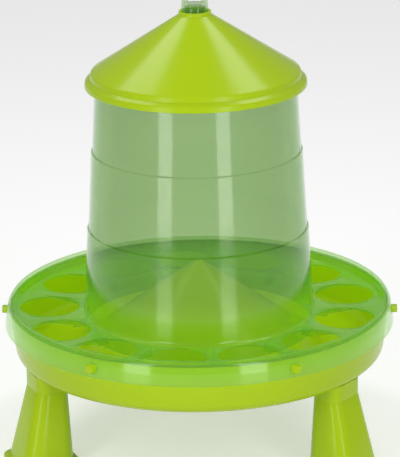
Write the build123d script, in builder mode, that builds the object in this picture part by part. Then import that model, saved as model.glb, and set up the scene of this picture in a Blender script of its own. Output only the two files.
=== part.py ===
from build123d import *
import math
import os

# Poultry tower feeder: a three-legged feed pan with a spreader cone, a tapered hopper
# moulded in one with its thirteen-hole feeding ring, a conical lid and a hanging eye.
# Millimetres, +Z up, origin on the ground below the middle of the whole. The rear foot
# reaches further out than the ring in front, so the feeder's own axis is at AXIS_Y.
AXIS_Y = -6.0

# Levels above the ground
GROUND_Z = 0.0
FOOT_TOP_Z = 6.0
SEAM_Z = 74.5
PAN_BOTTOM_Z = 88.0
APRON_BOTTOM_Z = 112.5
SKIRT_BOTTOM_Z = 118.0
DECK_Z = 129.0
RIM_SEAT_Z = 134.0
CREST_Z = 141.6
SPREADER_TOP_Z = 174.0
LOWER_STEP_Z = 209.0
UPPER_STEP_Z = 282.0
MOUTH_Z = 354.2
LID_TOP_Z = 410.4
EYE_BASE_Z = 416.2
EYE_TOP_Z = 440.0

# Pan and spreader cone
PAN_WALL = 2.3
PAN_RIM_R = 175.0
PAN_DRAFT = 0.115
PAN_LAND = 4.0
PAN_CORNER = 10.0
PAN_SHOULDER = 6.0
SPREADER_NOSE = 10.0
SPREADER_SLOPE = 36.2
SPREADER_BLEND = 25.0

# Pegs that hold the ring on the pan
PEG_COUNT = 6
PEG_TIP_R = 183.6
PEG_LENGTH = 12.0
PEG_WIDTH = 7.0
PEG_HEIGHT = 6.4
PEG_CENTRE_Z = 126.0
PEG_ROUND = 2.4
PEG_PLAY = 0.8
PEG_WINDOW_DEPTH = 12.0

# Hopper and ring
HOPPER_WALL = 2.0
MOUTH_R = 91.2
MOUTH_LAND = 3.0
HOPPER_TAPER = 0.056
STEP = 1.2
STEP_HEIGHT = 1.2
JUNCTION_FILLET = 3.0
DECK_OUTER_R = 169.0
CREST_R = 172.0
SHOULDER_R = 177.4
SHOULDER_Z = 136.6
LEDGE_R = 178.8
LEDGE_Z = 129.0
SKIRT_R = 180.2
RING_ROUNDS = [1.2, 2.4, 4.0, 3.0]
SEAT_RIB_R = 173.8
SEAT_RIB_WIDTH = 1.8

# Feeding holes and the fins between them
HOLE_COUNT = 13
HOLE_R = 28.1
HOLE_CIRCLE_R = 139.0
HOLE_ROUND = 0.6
FIRST_HOLE_ANGLE = 180.0
FIN_THICKNESS = 1.6
FIN_ROOT_Z = 118.2
FIN_SLOPE = 0.186
FIN_TAB_START_R = 111.2
FIN_TAB_END_R = 119.0
FIN_TAB_Z = 118.4
FIN_TAB_BEVEL = 0.6

# Lid
LID_WALL = 2.2
COLLAR_R = 14.9
COLLAR_HEIGHT = 3.6
LID_SLOPE = 33.0
BAND_R = 95.4
BAND_BOTTOM_Z = 350.0
LIP_R = 101.0
LIP_TOP_Z = 347.0
LIP_BOTTOM_Z = 342.0
SEAT_RING_WIDTH = 2.6
SEAT_RING_PLAY = 0.4

# Hanger: bridge across the mouth, stem and eye
STEM_R = 12.0
HANGER_WALL = 2.5
BRIDGE_WIDTH = 16.0
BRIDGE_HEIGHT = 9.0
BRIDGE_TOP_Z = 352.0
BRIDGE_PLAY = 0.7
TONGUE_WIDTH = 10.4
TONGUE_HEIGHT = 5.0
TONGUE_PLAY = 0.3
TONGUE_WINDOW_DEPTH = 8.0
EYE_WIDTH = 22.0
EYE_DEPTH = 11.0
EYE_FLARE = 0.8
EYE_ROUND = 1.2
EYE_WINDOW_WIDTH = 10.0
EYE_WINDOW_TOP_Z = 433.0

# Legs
LEG_ANGLES = {"leg_left": -154.6, "leg_right": -34.6, "leg_rear": 85.4}
LEG_WALL = 2.5
LEG_OUTER_R = 167.4
LEG_INNER_R = 136.6
LEG_HALF_WIDTH = 22.9
LEG_SIDE_SLOPE = 0.22
LEG_CORNER = 9.8
FOOT_OUTER_R = 186.6
FOOT_INNER_R = 133.5
FOOT_HALF_WIDTH = 31.4
FOOT_CORNER = 12.4
FOOT_FLANGE = 5.0
FOOT_ROUND = 1.5
SEAM_CHAMFER = 0.4
SOCKET_WALL = 2.6
SOCKET_PLAY = 0.2
SPIGOT_HEIGHT = 13.2
SPIGOT_WALL = 2.2

os.makedirs("parts", exist_ok=True)

feeder_axis = Axis((0, AXIS_Y, 0), (0, 0, 1))


def hopper_radius(z):
    """Outer radius of the hopper's wall at height z, with its two steps."""
    radius = MOUTH_R + (MOUTH_Z - z) * HOPPER_TAPER
    if z < UPPER_STEP_Z:
        radius += STEP
    if z < LOWER_STEP_Z:
        radius += STEP
    return radius


def level_plane(z, angle=0.0):
    """Horizontal plane at height z round the feeder's axis, its X axis at the given angle."""
    turn = math.radians(angle)
    return Plane(origin=(0, AXIS_Y, z), x_dir=(math.cos(turn), math.sin(turn), 0), z_dir=(0, 0, 1))


def radial_plane(angle=0.0):
    """Upright plane through the feeder's axis: X runs outwards and Y runs up."""
    turn = math.radians(angle)
    outwards = (math.cos(turn), math.sin(turn), 0)
    return Plane(origin=(0, AXIS_Y, 0), x_dir=outwards, z_dir=(math.sin(turn), -math.cos(turn), 0))


def leg_section(outer_r, inner_r, half_width, corner, inset=0.0):
    """Rounded trapezoid of a leg, its wide face outwards, drawn in the open sketch."""
    inner_half = half_width - (outer_r - inner_r) * LEG_SIDE_SLOPE
    corners = [(outer_r, half_width), (inner_r, inner_half), (inner_r, -inner_half), (outer_r, -half_width)]
    with BuildSketch(mode=Mode.PRIVATE) as section:
        with BuildLine():
            Polyline(*corners, close=True)
        make_face()
        fillet(section.vertices(), corner)
        if inset:
            offset(amount=-inset)
    add(section.sketch)


# Base pan: dish, spreader cone, leg sockets and pegs in one moulding
spread = math.radians(SPREADER_SLOPE)
floor_z = PAN_BOTTOM_Z + PAN_WALL
nose_z = SPREADER_TOP_Z - SPREADER_NOSE
nose_end = (SPREADER_NOSE * math.sin(spread), nose_z + SPREADER_NOSE * math.cos(spread))
spreader_foot_r = nose_end[0] + (nose_end[1] - floor_z) / math.tan(spread)
pan_inner_r = PAN_RIM_R - PAN_WALL
pan_floor_r = pan_inner_r - (RIM_SEAT_Z - PAN_LAND - floor_z) * PAN_DRAFT

with BuildPart() as base_pan:
    with BuildSketch(radial_plane()):
        with BuildLine():
            RadiusArc((0, SPREADER_TOP_Z), nose_end, SPREADER_NOSE)
            FilletPolyline(
                nose_end,
                (spreader_foot_r, floor_z),
                (pan_floor_r, floor_z),
                (pan_inner_r, RIM_SEAT_Z - PAN_LAND),
                (pan_inner_r, RIM_SEAT_Z),
                radius=[SPREADER_BLEND, PAN_CORNER - PAN_WALL, PAN_SHOULDER],
            )
            offset(amount=PAN_WALL, side=Side.RIGHT)
        make_face()
    revolve(axis=feeder_axis)
    for angle in LEG_ANGLES.values():
        with BuildSketch(level_plane(SEAM_Z, angle)):
            leg_section(LEG_OUTER_R, LEG_INNER_R, LEG_HALF_WIDTH, LEG_CORNER)
        extrude(amount=floor_z - PAN_WALL / 4 - SEAM_Z)
        with BuildSketch(level_plane(SEAM_Z, angle)):
            leg_section(LEG_OUTER_R, LEG_INNER_R, LEG_HALF_WIDTH, LEG_CORNER, SOCKET_WALL)
        extrude(amount=PAN_BOTTOM_Z - SEAM_Z, mode=Mode.SUBTRACT)
    for socket in base_pan.faces().filter_by_position(Axis.Z, SEAM_Z - 0.1, SEAM_Z + 0.1):
        chamfer(socket.outer_wire().edges(), SEAM_CHAMFER)
    for i in range(PEG_COUNT):
        turn = math.radians(i * 360 / PEG_COUNT)
        outwards = (math.cos(turn), math.sin(turn), 0)
        tip = (PEG_TIP_R * outwards[0], AXIS_Y + PEG_TIP_R * outwards[1], PEG_CENTRE_Z)
        across = (-outwards[1], outwards[0], 0)
        with BuildSketch(Plane(origin=tip, x_dir=across, z_dir=outwards)) as peg:
            Rectangle(PEG_WIDTH, PEG_HEIGHT)
            fillet(peg.vertices().group_by(Axis.Y)[0], PEG_ROUND)
        extrude(amount=-PEG_LENGTH)

base_pan.part.label = "base_pan"
export_step(base_pan.part, "parts/base_pan.step")

# Hopper with feeding ring, apron, skirt and fins in one moulding
half_step = STEP_HEIGHT / 2
wall_points = [
    (hopper_radius(MOUTH_Z - MOUTH_LAND), MOUTH_Z),
    (hopper_radius(MOUTH_Z - MOUTH_LAND), MOUTH_Z - MOUTH_LAND),
    (hopper_radius(UPPER_STEP_Z + half_step), UPPER_STEP_Z + half_step),
    (hopper_radius(UPPER_STEP_Z - half_step), UPPER_STEP_Z - half_step),
    (hopper_radius(LOWER_STEP_Z + half_step), LOWER_STEP_Z + half_step),
    (hopper_radius(LOWER_STEP_Z - half_step), LOWER_STEP_Z - half_step),
    (hopper_radius(APRON_BOTTOM_Z), APRON_BOTTOM_Z),
]
wall_middle_r = hopper_radius(DECK_Z) - HOPPER_WALL / 2
deck_middle_z = DECK_Z - HOPPER_WALL / 2


def fin_edge_z(r):
    """Height of a fin's sloping lower edge at radius r."""
    return FIN_ROOT_Z + (r - hopper_radius(DECK_Z)) * FIN_SLOPE


fin_end_r = hopper_radius(DECK_Z) + (deck_middle_z - FIN_ROOT_Z) / FIN_SLOPE
fin_points = [
    (wall_middle_r, deck_middle_z),
    (fin_end_r, deck_middle_z),
    (FIN_TAB_END_R, fin_edge_z(FIN_TAB_END_R)),
    (FIN_TAB_END_R, FIN_TAB_Z + FIN_TAB_BEVEL),
    (FIN_TAB_END_R - FIN_TAB_BEVEL, FIN_TAB_Z),
    (FIN_TAB_START_R + FIN_TAB_BEVEL, FIN_TAB_Z),
    (FIN_TAB_START_R, fin_edge_z(FIN_TAB_START_R)),
    (wall_middle_r, fin_edge_z(wall_middle_r)),
]

with BuildPart() as hopper:
    with BuildSketch(radial_plane()):
        with BuildLine():
            Polyline(*wall_points)
            offset(amount=HOPPER_WALL, side=Side.RIGHT)
        make_face()
    revolve(axis=feeder_axis)
    with BuildSketch(radial_plane()):
        with BuildLine():
            FilletPolyline(
                (wall_middle_r, DECK_Z),
                (DECK_OUTER_R, DECK_Z),
                (CREST_R, CREST_Z),
                (SHOULDER_R, SHOULDER_Z),
                (LEDGE_R, LEDGE_Z),
                (SKIRT_R, SKIRT_BOTTOM_Z),
                radius=RING_ROUNDS,
            )
            offset(amount=HOPPER_WALL, side=Side.RIGHT)
        make_face()
    revolve(axis=feeder_axis)
    deck_circles = hopper.edges().filter_by(GeomType.CIRCLE).filter_by_position(Axis.Z, DECK_Z - 0.05, DECK_Z + 0.05)
    junction = deck_circles.filter_by(lambda circle: abs(circle.radius - hopper_radius(DECK_Z)) < 0.1)
    fillet(junction, JUNCTION_FILLET)
    with BuildSketch(level_plane(RIM_SEAT_Z)):
        Circle(SEAT_RIB_R + SEAT_RIB_WIDTH / 2)
        Circle(SEAT_RIB_R - SEAT_RIB_WIDTH / 2, mode=Mode.SUBTRACT)
    extrude(amount=CREST_Z - HOPPER_WALL - RIM_SEAT_Z)
    with BuildSketch(level_plane(APRON_BOTTOM_Z)):
        with PolarLocations(HOLE_CIRCLE_R, HOLE_COUNT, start_angle=FIRST_HOLE_ANGLE):
            Circle(HOLE_R)
    extrude(amount=CREST_Z - APRON_BOTTOM_Z, mode=Mode.SUBTRACT)
    hole_edges = hopper.edges().filter_by(GeomType.CIRCLE).filter_by(lambda edge: abs(edge.radius - HOLE_R) < 0.01)
    fillet(hole_edges, HOLE_ROUND)
    for i in range(HOLE_COUNT):
        with BuildSketch(radial_plane(FIRST_HOLE_ANGLE + (i + 0.5) * 360 / HOLE_COUNT)):
            with BuildLine():
                Polyline(*fin_points, close=True)
            make_face()
        extrude(amount=FIN_THICKNESS / 2, both=True)
    for i in range(PEG_COUNT):
        with BuildSketch(radial_plane(i * 360 / PEG_COUNT)):
            with Locations((PEG_TIP_R - PEG_WINDOW_DEPTH / 3, PEG_CENTRE_Z)):
                Rectangle(PEG_WINDOW_DEPTH, PEG_HEIGHT + 2 * PEG_PLAY)
        extrude(amount=PEG_WIDTH / 2 + PEG_PLAY, both=True, mode=Mode.SUBTRACT)
    for side in (0, 180):
        with BuildSketch(radial_plane(side)):
            with Locations((MOUTH_R, BRIDGE_TOP_Z - BRIDGE_HEIGHT / 2)):
                Rectangle(TONGUE_WINDOW_DEPTH, TONGUE_HEIGHT + 2 * TONGUE_PLAY)
        extrude(amount=TONGUE_WIDTH / 2 + TONGUE_PLAY, both=True, mode=Mode.SUBTRACT)

hopper.part.label = "hopper"
export_step(hopper.part, "parts/hopper.step")

# Lid: collar, cone, short band and flared lip, with a seat ring inside
lid_slope = math.tan(math.radians(LID_SLOPE))
cone_top_z = LID_TOP_Z - COLLAR_HEIGHT
cone_foot_z = cone_top_z - (BAND_R - COLLAR_R) * lid_slope
seat_outer_r = MOUTH_R + SEAT_RING_PLAY
seat_inner_r = seat_outer_r - SEAT_RING_WIDTH


def lid_middle_z(r):
    """Height half-way through the lid's cone at radius r."""
    return cone_top_z - (r - COLLAR_R) * lid_slope - LID_WALL / 2


with BuildPart() as lid:
    with BuildSketch(radial_plane()):
        with BuildLine():
            FilletPolyline(
                (COLLAR_R - 0.3, LID_TOP_Z),
                (COLLAR_R, cone_top_z),
                (BAND_R, cone_foot_z),
                (BAND_R + 0.2, BAND_BOTTOM_Z),
                (LIP_R - 0.6, LIP_TOP_Z),
                (LIP_R, LIP_BOTTOM_Z),
                radius=[0.8, 3.0, 1.2, 2.6],
            )
            offset(amount=LID_WALL, side=Side.RIGHT)
        make_face()
    revolve(axis=feeder_axis)
    with BuildSketch(radial_plane()):
        with BuildLine():
            Polyline(
                (seat_inner_r, MOUTH_Z),
                (seat_outer_r, MOUTH_Z),
                (seat_outer_r, lid_middle_z(seat_outer_r)),
                (seat_inner_r, lid_middle_z(seat_inner_r)),
                close=True,
            )
        make_face()
    revolve(axis=feeder_axis)

lid.part.label = "lid"
export_step(lid.part, "parts/lid.step")

# Hanger: channel-shaped bridge, hollow stem and hanging eye
bridge_bottom_z = BRIDGE_TOP_Z - BRIDGE_HEIGHT
bridge_half = hopper_radius(BRIDGE_TOP_Z) - HOPPER_WALL - BRIDGE_PLAY
tongue_end = hopper_radius(BRIDGE_TOP_Z)
arch_z = EYE_TOP_Z - EYE_WIDTH / 2
slot_arch_z = EYE_WINDOW_TOP_Z - EYE_WINDOW_WIDTH / 2

with BuildPart(mode=Mode.PRIVATE) as eye:
    with BuildSketch(radial_plane()):
        with BuildLine():
            half = EYE_WIDTH / 2
            foot = half + EYE_FLARE
            Polyline((-half, arch_z), (-foot, EYE_BASE_Z - 1), (foot, EYE_BASE_Z - 1), (half, arch_z))
            ThreePointArc((half, arch_z), (0, EYE_TOP_Z), (-half, arch_z))
        make_face()
        with BuildLine():
            slot = EYE_WINDOW_WIDTH / 2
            slot_foot = slot + EYE_FLARE
            Polyline((-slot, slot_arch_z), (-slot_foot, EYE_BASE_Z), (slot_foot, EYE_BASE_Z), (slot, slot_arch_z))
            ThreePointArc((slot, slot_arch_z), (0, EYE_WINDOW_TOP_Z), (-slot, slot_arch_z))
        make_face(mode=Mode.SUBTRACT)
    extrude(amount=EYE_DEPTH / 2, both=True)
    for side in (0, -1):
        rim = eye.faces().sort_by(Axis.Y)[side].edges()
        fillet(rim.filter_by_position(Axis.Z, EYE_BASE_Z + 1, EYE_TOP_Z), EYE_ROUND)

with BuildPart() as hanger:
    with BuildSketch(level_plane(bridge_bottom_z)):
        Rectangle(2 * bridge_half, BRIDGE_WIDTH)
        Circle(STEM_R)
    extrude(amount=BRIDGE_HEIGHT)
    with BuildSketch(level_plane(BRIDGE_TOP_Z)):
        Circle(STEM_R)
    extrude(amount=EYE_BASE_Z - BRIDGE_TOP_Z)
    with BuildSketch(level_plane(bridge_bottom_z)):
        Rectangle(2 * (bridge_half - HANGER_WALL), BRIDGE_WIDTH - 2 * HANGER_WALL)
    extrude(amount=BRIDGE_HEIGHT - HANGER_WALL, mode=Mode.SUBTRACT)
    with BuildSketch(level_plane(bridge_bottom_z)):
        Circle(STEM_R - HANGER_WALL)
    extrude(amount=EYE_BASE_Z - bridge_bottom_z - HANGER_WALL, mode=Mode.SUBTRACT)
    for side in (-1, 1):
        tongue_plane = Plane(origin=(side * tongue_end, AXIS_Y, 0), x_dir=(0, side, 0), z_dir=(side, 0, 0))
        with BuildSketch(tongue_plane):
            with Locations((0, BRIDGE_TOP_Z - BRIDGE_HEIGHT / 2)):
                Rectangle(TONGUE_WIDTH, TONGUE_HEIGHT)
        extrude(amount=-(tongue_end - bridge_half + HANGER_WALL))
    add(eye.part)

hanger.part.label = "hanger"
export_step(hanger.part, "parts/hanger.step")


def make_leg(angle):
    """Hollow leg that flares to a flanged foot, with a spigot for the pan's socket."""
    flange_outer_r = FOOT_OUTER_R + FOOT_FLANGE
    flange_inner_r = FOOT_INNER_R - FOOT_FLANGE
    flange_half = FOOT_HALF_WIDTH + FOOT_FLANGE * (1 + LEG_SIDE_SLOPE)
    spigot_inset = SOCKET_WALL + SOCKET_PLAY
    with BuildPart() as leg:
        with BuildSketch(level_plane(GROUND_Z, angle)):
            leg_section(flange_outer_r, flange_inner_r, flange_half, FOOT_CORNER + FOOT_FLANGE)
        extrude(amount=FOOT_TOP_Z)
        fillet(leg.faces().sort_by(Axis.Z)[-1].edges(), FOOT_ROUND)
        with BuildSketch(level_plane(SEAM_Z, angle)):
            leg_section(LEG_OUTER_R, LEG_INNER_R, LEG_HALF_WIDTH, LEG_CORNER)
        with BuildSketch(level_plane(GROUND_Z, angle)):
            leg_section(FOOT_OUTER_R, FOOT_INNER_R, FOOT_HALF_WIDTH, FOOT_CORNER)
        loft(ruled=True)
        chamfer(leg.faces().sort_by(Axis.Z)[-1].edges(), SEAM_CHAMFER)
        with BuildSketch(level_plane(SEAM_Z, angle)):
            leg_section(LEG_OUTER_R, LEG_INNER_R, LEG_HALF_WIDTH, LEG_CORNER, spigot_inset)
        extrude(amount=SPIGOT_HEIGHT)
        with BuildSketch(level_plane(SEAM_Z - LEG_WALL, angle)):
            leg_section(LEG_OUTER_R, LEG_INNER_R, LEG_HALF_WIDTH, LEG_CORNER, spigot_inset + 0.4)
        with BuildSketch(level_plane(GROUND_Z, angle)):
            leg_section(FOOT_OUTER_R, FOOT_INNER_R, FOOT_HALF_WIDTH, FOOT_CORNER, LEG_WALL)
        loft(ruled=True, mode=Mode.SUBTRACT)
        with BuildSketch(level_plane(SEAM_Z - 2 * LEG_WALL, angle)):
            leg_section(LEG_OUTER_R, LEG_INNER_R, LEG_HALF_WIDTH, LEG_CORNER, spigot_inset + SPIGOT_WALL)
        extrude(amount=2 * LEG_WALL + SPIGOT_HEIGHT - SPIGOT_WALL, mode=Mode.SUBTRACT)
    return leg.part


for name, angle in LEG_ANGLES.items():
    leg = make_leg(angle)
    leg.label = name
    export_step(leg, f"parts/{name}.step")
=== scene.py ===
"""Studio scene of a poultry tower feeder.

The feeder is a lime feed pan on three plug-in legs, a see-through hopper moulded in one with
its thirteen-hole feeding ring, a conical lid and a hanging eye. Lengths are in metres, +Z is up.
"""

import logging
import math
from dataclasses import dataclass, field
from enum import Enum
from typing import Callable

import bmesh
import bpy
from mathutils import Matrix, Quaternion, Vector


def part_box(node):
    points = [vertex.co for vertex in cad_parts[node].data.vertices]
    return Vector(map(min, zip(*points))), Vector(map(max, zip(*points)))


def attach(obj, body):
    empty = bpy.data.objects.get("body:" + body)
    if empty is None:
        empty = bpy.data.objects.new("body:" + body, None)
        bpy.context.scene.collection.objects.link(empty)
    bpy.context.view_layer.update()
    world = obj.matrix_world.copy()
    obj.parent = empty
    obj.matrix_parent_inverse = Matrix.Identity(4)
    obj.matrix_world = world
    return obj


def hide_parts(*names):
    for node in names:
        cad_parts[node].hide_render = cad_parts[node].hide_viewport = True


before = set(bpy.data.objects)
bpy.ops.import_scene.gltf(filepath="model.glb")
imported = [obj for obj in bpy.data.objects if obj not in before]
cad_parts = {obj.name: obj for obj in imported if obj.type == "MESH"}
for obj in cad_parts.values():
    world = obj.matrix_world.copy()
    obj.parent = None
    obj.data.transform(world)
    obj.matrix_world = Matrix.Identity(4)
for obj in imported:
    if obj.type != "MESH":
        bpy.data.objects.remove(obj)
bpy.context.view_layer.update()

PHOTO_LONG_SIDE = 457
STEPS_ROUND = 192
MERGE = 1e-6
AXIS_Y = -0.006
log = logging.getLogger("feeder")


class Plastic(Enum):
    """Names of the feeder's two plastics."""

    LIME = "opaque_lime"
    CLEAR = "clear_green"


class Cut(Enum):
    """How one workpiece acts on another."""

    ADD = "UNION"
    REMOVE = "DIFFERENCE"


class Sheet(Enum):
    """The plane that an outline is drawn in."""

    UPRIGHT = "first coordinate along X, second along Z"
    LEVEL = "first coordinate along X, second along Y"


@dataclass(frozen=True)
class Corner:
    """A corner of an outline, with the radius that rounds it.

    Args:
        u: First coordinate in the outline's plane.
        v: Second coordinate.
        radius: Radius of the rounding, or 0 for a sharp corner.
        segments: Edges that the rounding is made of.
    """

    u: float
    v: float
    radius: float = 0.0
    segments: int = 6


def unit(du: float, dv: float) -> tuple[float, float]:
    """Direction of length one."""
    length = math.hypot(du, dv)
    return du / length, dv / length


def beside(points: list[tuple[float, float]], distance: float) -> list[tuple[float, float]]:
    """Offsets an open line sideways and keeps its corners sharp.

    Args:
        points: Corners of the line.
        distance: How far to the right of its direction the new line runs.

    Returns:
        The corners of the new line, in the same order.
    """
    ways = [unit(b[0] - a[0], b[1] - a[1]) for a, b in zip(points, points[1:])]
    moved = []
    for i, (u, v) in enumerate(points):
        before = ways[max(i - 1, 0)]
        after = ways[min(i, len(ways) - 1)]
        across = unit(before[1] + after[1], -before[0] - after[0])
        reach = distance / (across[0] * after[1] - across[1] * after[0])
        moved.append((u + across[0] * reach, v + across[1] * reach))
    return moved


def shell(points: list[tuple[float, float]], radii: list[float], wall: float) -> list[Corner]:
    """Closed outline of a wall of even thickness.

    Args:
        points: Corners of the wall's outer line. The wall lies to the right of it.
        radii: Rounding of each corner between the first and the last.
        wall: Thickness of the wall.

    Returns:
        The outer corners, then the inner ones in reverse.
    """
    inner = beside(points, wall)
    outer_radii = [0.0, *radii, 0.0]
    corners = [Corner(u, v, r) for (u, v), r in zip(points, outer_radii)]
    inner_corners = []
    for i, (u, v) in enumerate(inner):
        radius = 0.0
        if 0 < i < len(points) - 1:
            (au, av), (bu, bv), (cu, cv) = points[i - 1:i + 2]
            turns_right = (bu - au) * (cv - bv) - (bv - av) * (cu - bu) < 0
            radius = max(outer_radii[i] + (-wall if turns_right else wall), 0.0)
        inner_corners.append(Corner(u, v, radius))
    return corners + inner_corners[::-1]


class Workpiece:
    """A mesh object under construction, shaped with edit-mode operators.

    Args:
        name: Name of the object.
    """

    def __init__(self, name: str) -> None:
        self.name = name
        self.object: bpy.types.Object | None = None

    def select(self) -> None:
        """Makes this object the only one selected, and active."""
        bpy.ops.object.select_all(action="DESELECT")
        self.object.select_set(True)
        bpy.context.view_layer.objects.active = self.object

    def edit(self) -> None:
        """Goes into edit mode on this object alone."""
        self.select()
        bpy.ops.object.mode_set(mode="EDIT")

    def leave(self) -> None:
        """Goes back to object mode."""
        bpy.ops.object.mode_set(mode="OBJECT")

    def pick(self, kind: str, wanted: Callable[[Vector, bmesh.types.BMElemSeq], bool]) -> int:
        """Selects the vertices, edges or faces that wanted accepts.

        Args:
            kind: "VERT", "EDGE" or "FACE".
            wanted: Takes the middle of an element and the element.

        Returns:
            How many were selected.
        """
        bpy.ops.mesh.select_mode(type=kind)
        bpy.ops.mesh.select_all(action="DESELECT")
        mesh = bmesh.from_edit_mesh(self.object.data)
        elements = {"VERT": mesh.verts, "EDGE": mesh.edges, "FACE": mesh.faces}[kind]
        count = 0
        for element in elements:
            if kind == "VERT":
                middle = element.co
            else:
                middle = sum((v.co for v in element.verts), Vector()) / len(element.verts)
            if wanted(middle, element):
                element.select_set(True)
                count += 1
        mesh.select_flush_mode()
        bmesh.update_edit_mesh(self.object.data)
        return count

    def draw(self, corners: list[Corner], closed: bool = True, sheet: Sheet = Sheet.UPRIGHT,
             level: float = 0.0) -> "Workpiece":
        """Draws an outline edge by edge from a single vertex and rounds its corners.

        Args:
            corners: The outline's corners in order.
            closed: Whether the last corner is joined to the first.
            sheet: The plane of the outline.
            level: Place of that plane, along Y for an upright one and along Z for a level one.

        Returns:
            This workpiece, left in edit mode.
        """
        def place(u: float, v: float) -> Vector:
            return Vector((u, level, v)) if sheet is Sheet.UPRIGHT else Vector((u, v, level))

        bpy.ops.object.select_all(action="DESELECT")
        spots = [place(c.u, c.v) for c in corners]
        bpy.ops.mesh.primitive_plane_add(size=MERGE, location=spots[0])
        self.object = bpy.context.object
        self.object.name = self.name
        bpy.ops.object.transform_apply(location=True, rotation=True, scale=True)
        self.edit()
        bpy.ops.mesh.select_mode(type="VERT")
        bpy.ops.mesh.select_all(action="SELECT")
        bpy.ops.mesh.merge(type="CENTER")
        for a, b in zip(spots, spots[1:]):
            bpy.ops.mesh.extrude_region_move(TRANSFORM_OT_translate={"value": b - a})
        if closed:
            ends = (spots[0], spots[-1])
            self.pick("VERT", lambda at, _: any((at - end).length < MERGE * 2 for end in ends))
            bpy.ops.mesh.edge_face_add()
        for i, corner in enumerate(corners):
            if corner.radius > 0.0:
                before = spots[i] - spots[i - 1]
                after = spots[(i + 1) % len(spots)] - spots[i]
                reach = corner.radius * math.tan(before.angle(after) / 2)
                self.pick("VERT", lambda at, _: (at - spots[i]).length < MERGE * 2)
                bpy.ops.mesh.bevel(offset=reach, segments=corner.segments, affect="VERTICES",
                                   clamp_overlap=False)
        return self

    def revolve(self, steps: int = STEPS_ROUND) -> "Workpiece":
        """Spins the drawn outline round the feeder's axis into a closed solid."""
        bpy.ops.mesh.select_all(action="SELECT")
        bpy.ops.mesh.spin(steps=steps, angle=math.tau, center=(0, 0, 0), axis=(0, 0, 1))
        self.close()
        return self

    def thicken(self, way: tuple[float, float, float]) -> "Workpiece":
        """Fills the drawn outline and pulls it out into a solid along way."""
        bpy.ops.mesh.select_all(action="SELECT")
        bpy.ops.mesh.edge_face_add()
        bpy.ops.mesh.extrude_region_move(TRANSFORM_OT_translate={"value": way})
        self.close()
        return self

    def close(self) -> None:
        """Merges doubles, turns the faces outwards and leaves edit mode."""
        bpy.ops.mesh.select_all(action="SELECT")
        bpy.ops.mesh.remove_doubles(threshold=MERGE)
        bpy.ops.mesh.normals_make_consistent(inside=False)
        self.leave()

    def turn(self, angle: float) -> "Workpiece":
        """Turns the workpiece about the feeder's axis and keeps its object unturned."""
        self.select()
        self.object.rotation_euler.z = angle
        bpy.ops.object.transform_apply(location=True, rotation=True, scale=True)
        return self

    def copy(self, name: str) -> "Workpiece":
        """A second workpiece with a mesh of its own."""
        self.select()
        bpy.ops.object.duplicate(linked=False)
        twin = Workpiece(name)
        twin.object = bpy.context.object
        twin.object.name = name
        return twin

    def around(self, angles: list[float]) -> "Workpiece":
        """Repeats the workpiece at these angles about the feeder's axis, joined in one object."""
        twins = [self.copy(f"{self.name}_{i}").turn(angle) for i, angle in enumerate(angles)]
        bpy.data.objects.remove(self.object)
        return joined(self.name, twins)

    def apply(self, kind: str, **settings: object) -> "Workpiece":
        """Adds a modifier with these settings and applies it."""
        self.select()
        modifier = self.object.modifiers.new(kind.lower(), kind)
        for key, value in settings.items():
            setattr(modifier, key, value)
        bpy.ops.object.modifier_apply(modifier=modifier.name)
        return self

    def combine(self, other: "Workpiece", cut: Cut) -> "Workpiece":
        """Adds another workpiece to this one or cuts it away, and deletes the other."""
        self.apply("BOOLEAN", operation=cut.value, object=other.object, solver="EXACT")
        bpy.data.objects.remove(other.object)
        return self

    def round_edges(self, wanted: Callable[[Vector, bmesh.types.BMEdge], bool], width: float,
                    segments: int = 2) -> "Workpiece":
        """Rounds the edges that wanted accepts."""
        self.edit()
        count = self.pick("EDGE", wanted)
        if count:
            bpy.ops.mesh.bevel(offset=width, segments=segments, affect="EDGES",
                               clamp_overlap=True)
        self.leave()
        log.info("%s: %d edges rounded", self.name, count)
        return self

    def finish(self, nodes: list[str], material: bpy.types.Material, plastic: Plastic,
               sharp: float = 32.0) -> bpy.types.Object:
        """Shades and dresses the piece and puts it in the place of its CAD nodes.

        Args:
            nodes: The CAD nodes that it stands for.
            material: Its finish.
            plastic: Not used.
            sharp: Edges that turn by more degrees than this stay sharp.

        Returns:
            The finished object.
        """
        self.select()
        self.object.location.y = AXIS_Y
        bpy.ops.object.transform_apply(location=True, rotation=True, scale=True)
        bpy.ops.object.shade_smooth_by_angle(angle=math.radians(sharp))
        self.object.data.materials.clear()
        self.object.data.materials.append(material)
        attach(self.object, "root")
        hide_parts(*nodes)
        log.info("%s: %d faces", self.object.name, len(self.object.data.polygons))
        return self.object


def joined(name: str, parts: list[Workpiece]) -> Workpiece:
    """One workpiece made of several that don't touch."""
    bpy.ops.object.select_all(action="DESELECT")
    for part in parts:
        part.object.select_set(True)
    bpy.context.view_layer.objects.active = parts[0].object
    bpy.ops.object.join()
    whole = Workpiece(name)
    whole.object = bpy.context.object
    whole.object.name = name
    return whole


class NodeGroup:
    """A shader node group with named inputs and outputs.

    Args:
        name: Name of the group.
        inputs: Socket type and default value of each input.
        outputs: Socket type of each output.
    """

    def __init__(self, name: str, inputs: dict[str, tuple[str, object]],
                 outputs: dict[str, str]) -> None:
        self.tree = bpy.data.node_groups.new(name, "ShaderNodeTree")
        for label, (kind, value) in inputs.items():
            socket = self.tree.interface.new_socket(label, in_out="INPUT", socket_type=kind)
            socket.default_value = value
        for label, kind in outputs.items():
            self.tree.interface.new_socket(label, in_out="OUTPUT", socket_type=kind)
        self.source = self.add("NodeGroupInput")
        self.target = self.add("NodeGroupOutput")

    def add(self, kind: str, **settings: object) -> bpy.types.Node:
        """Adds a node with these settings."""
        return add_node(self.tree, kind, **settings)

    def link(self, source: bpy.types.NodeSocket, target: bpy.types.NodeSocket) -> None:
        """Links two sockets."""
        self.tree.links.new(source, target)


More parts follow.
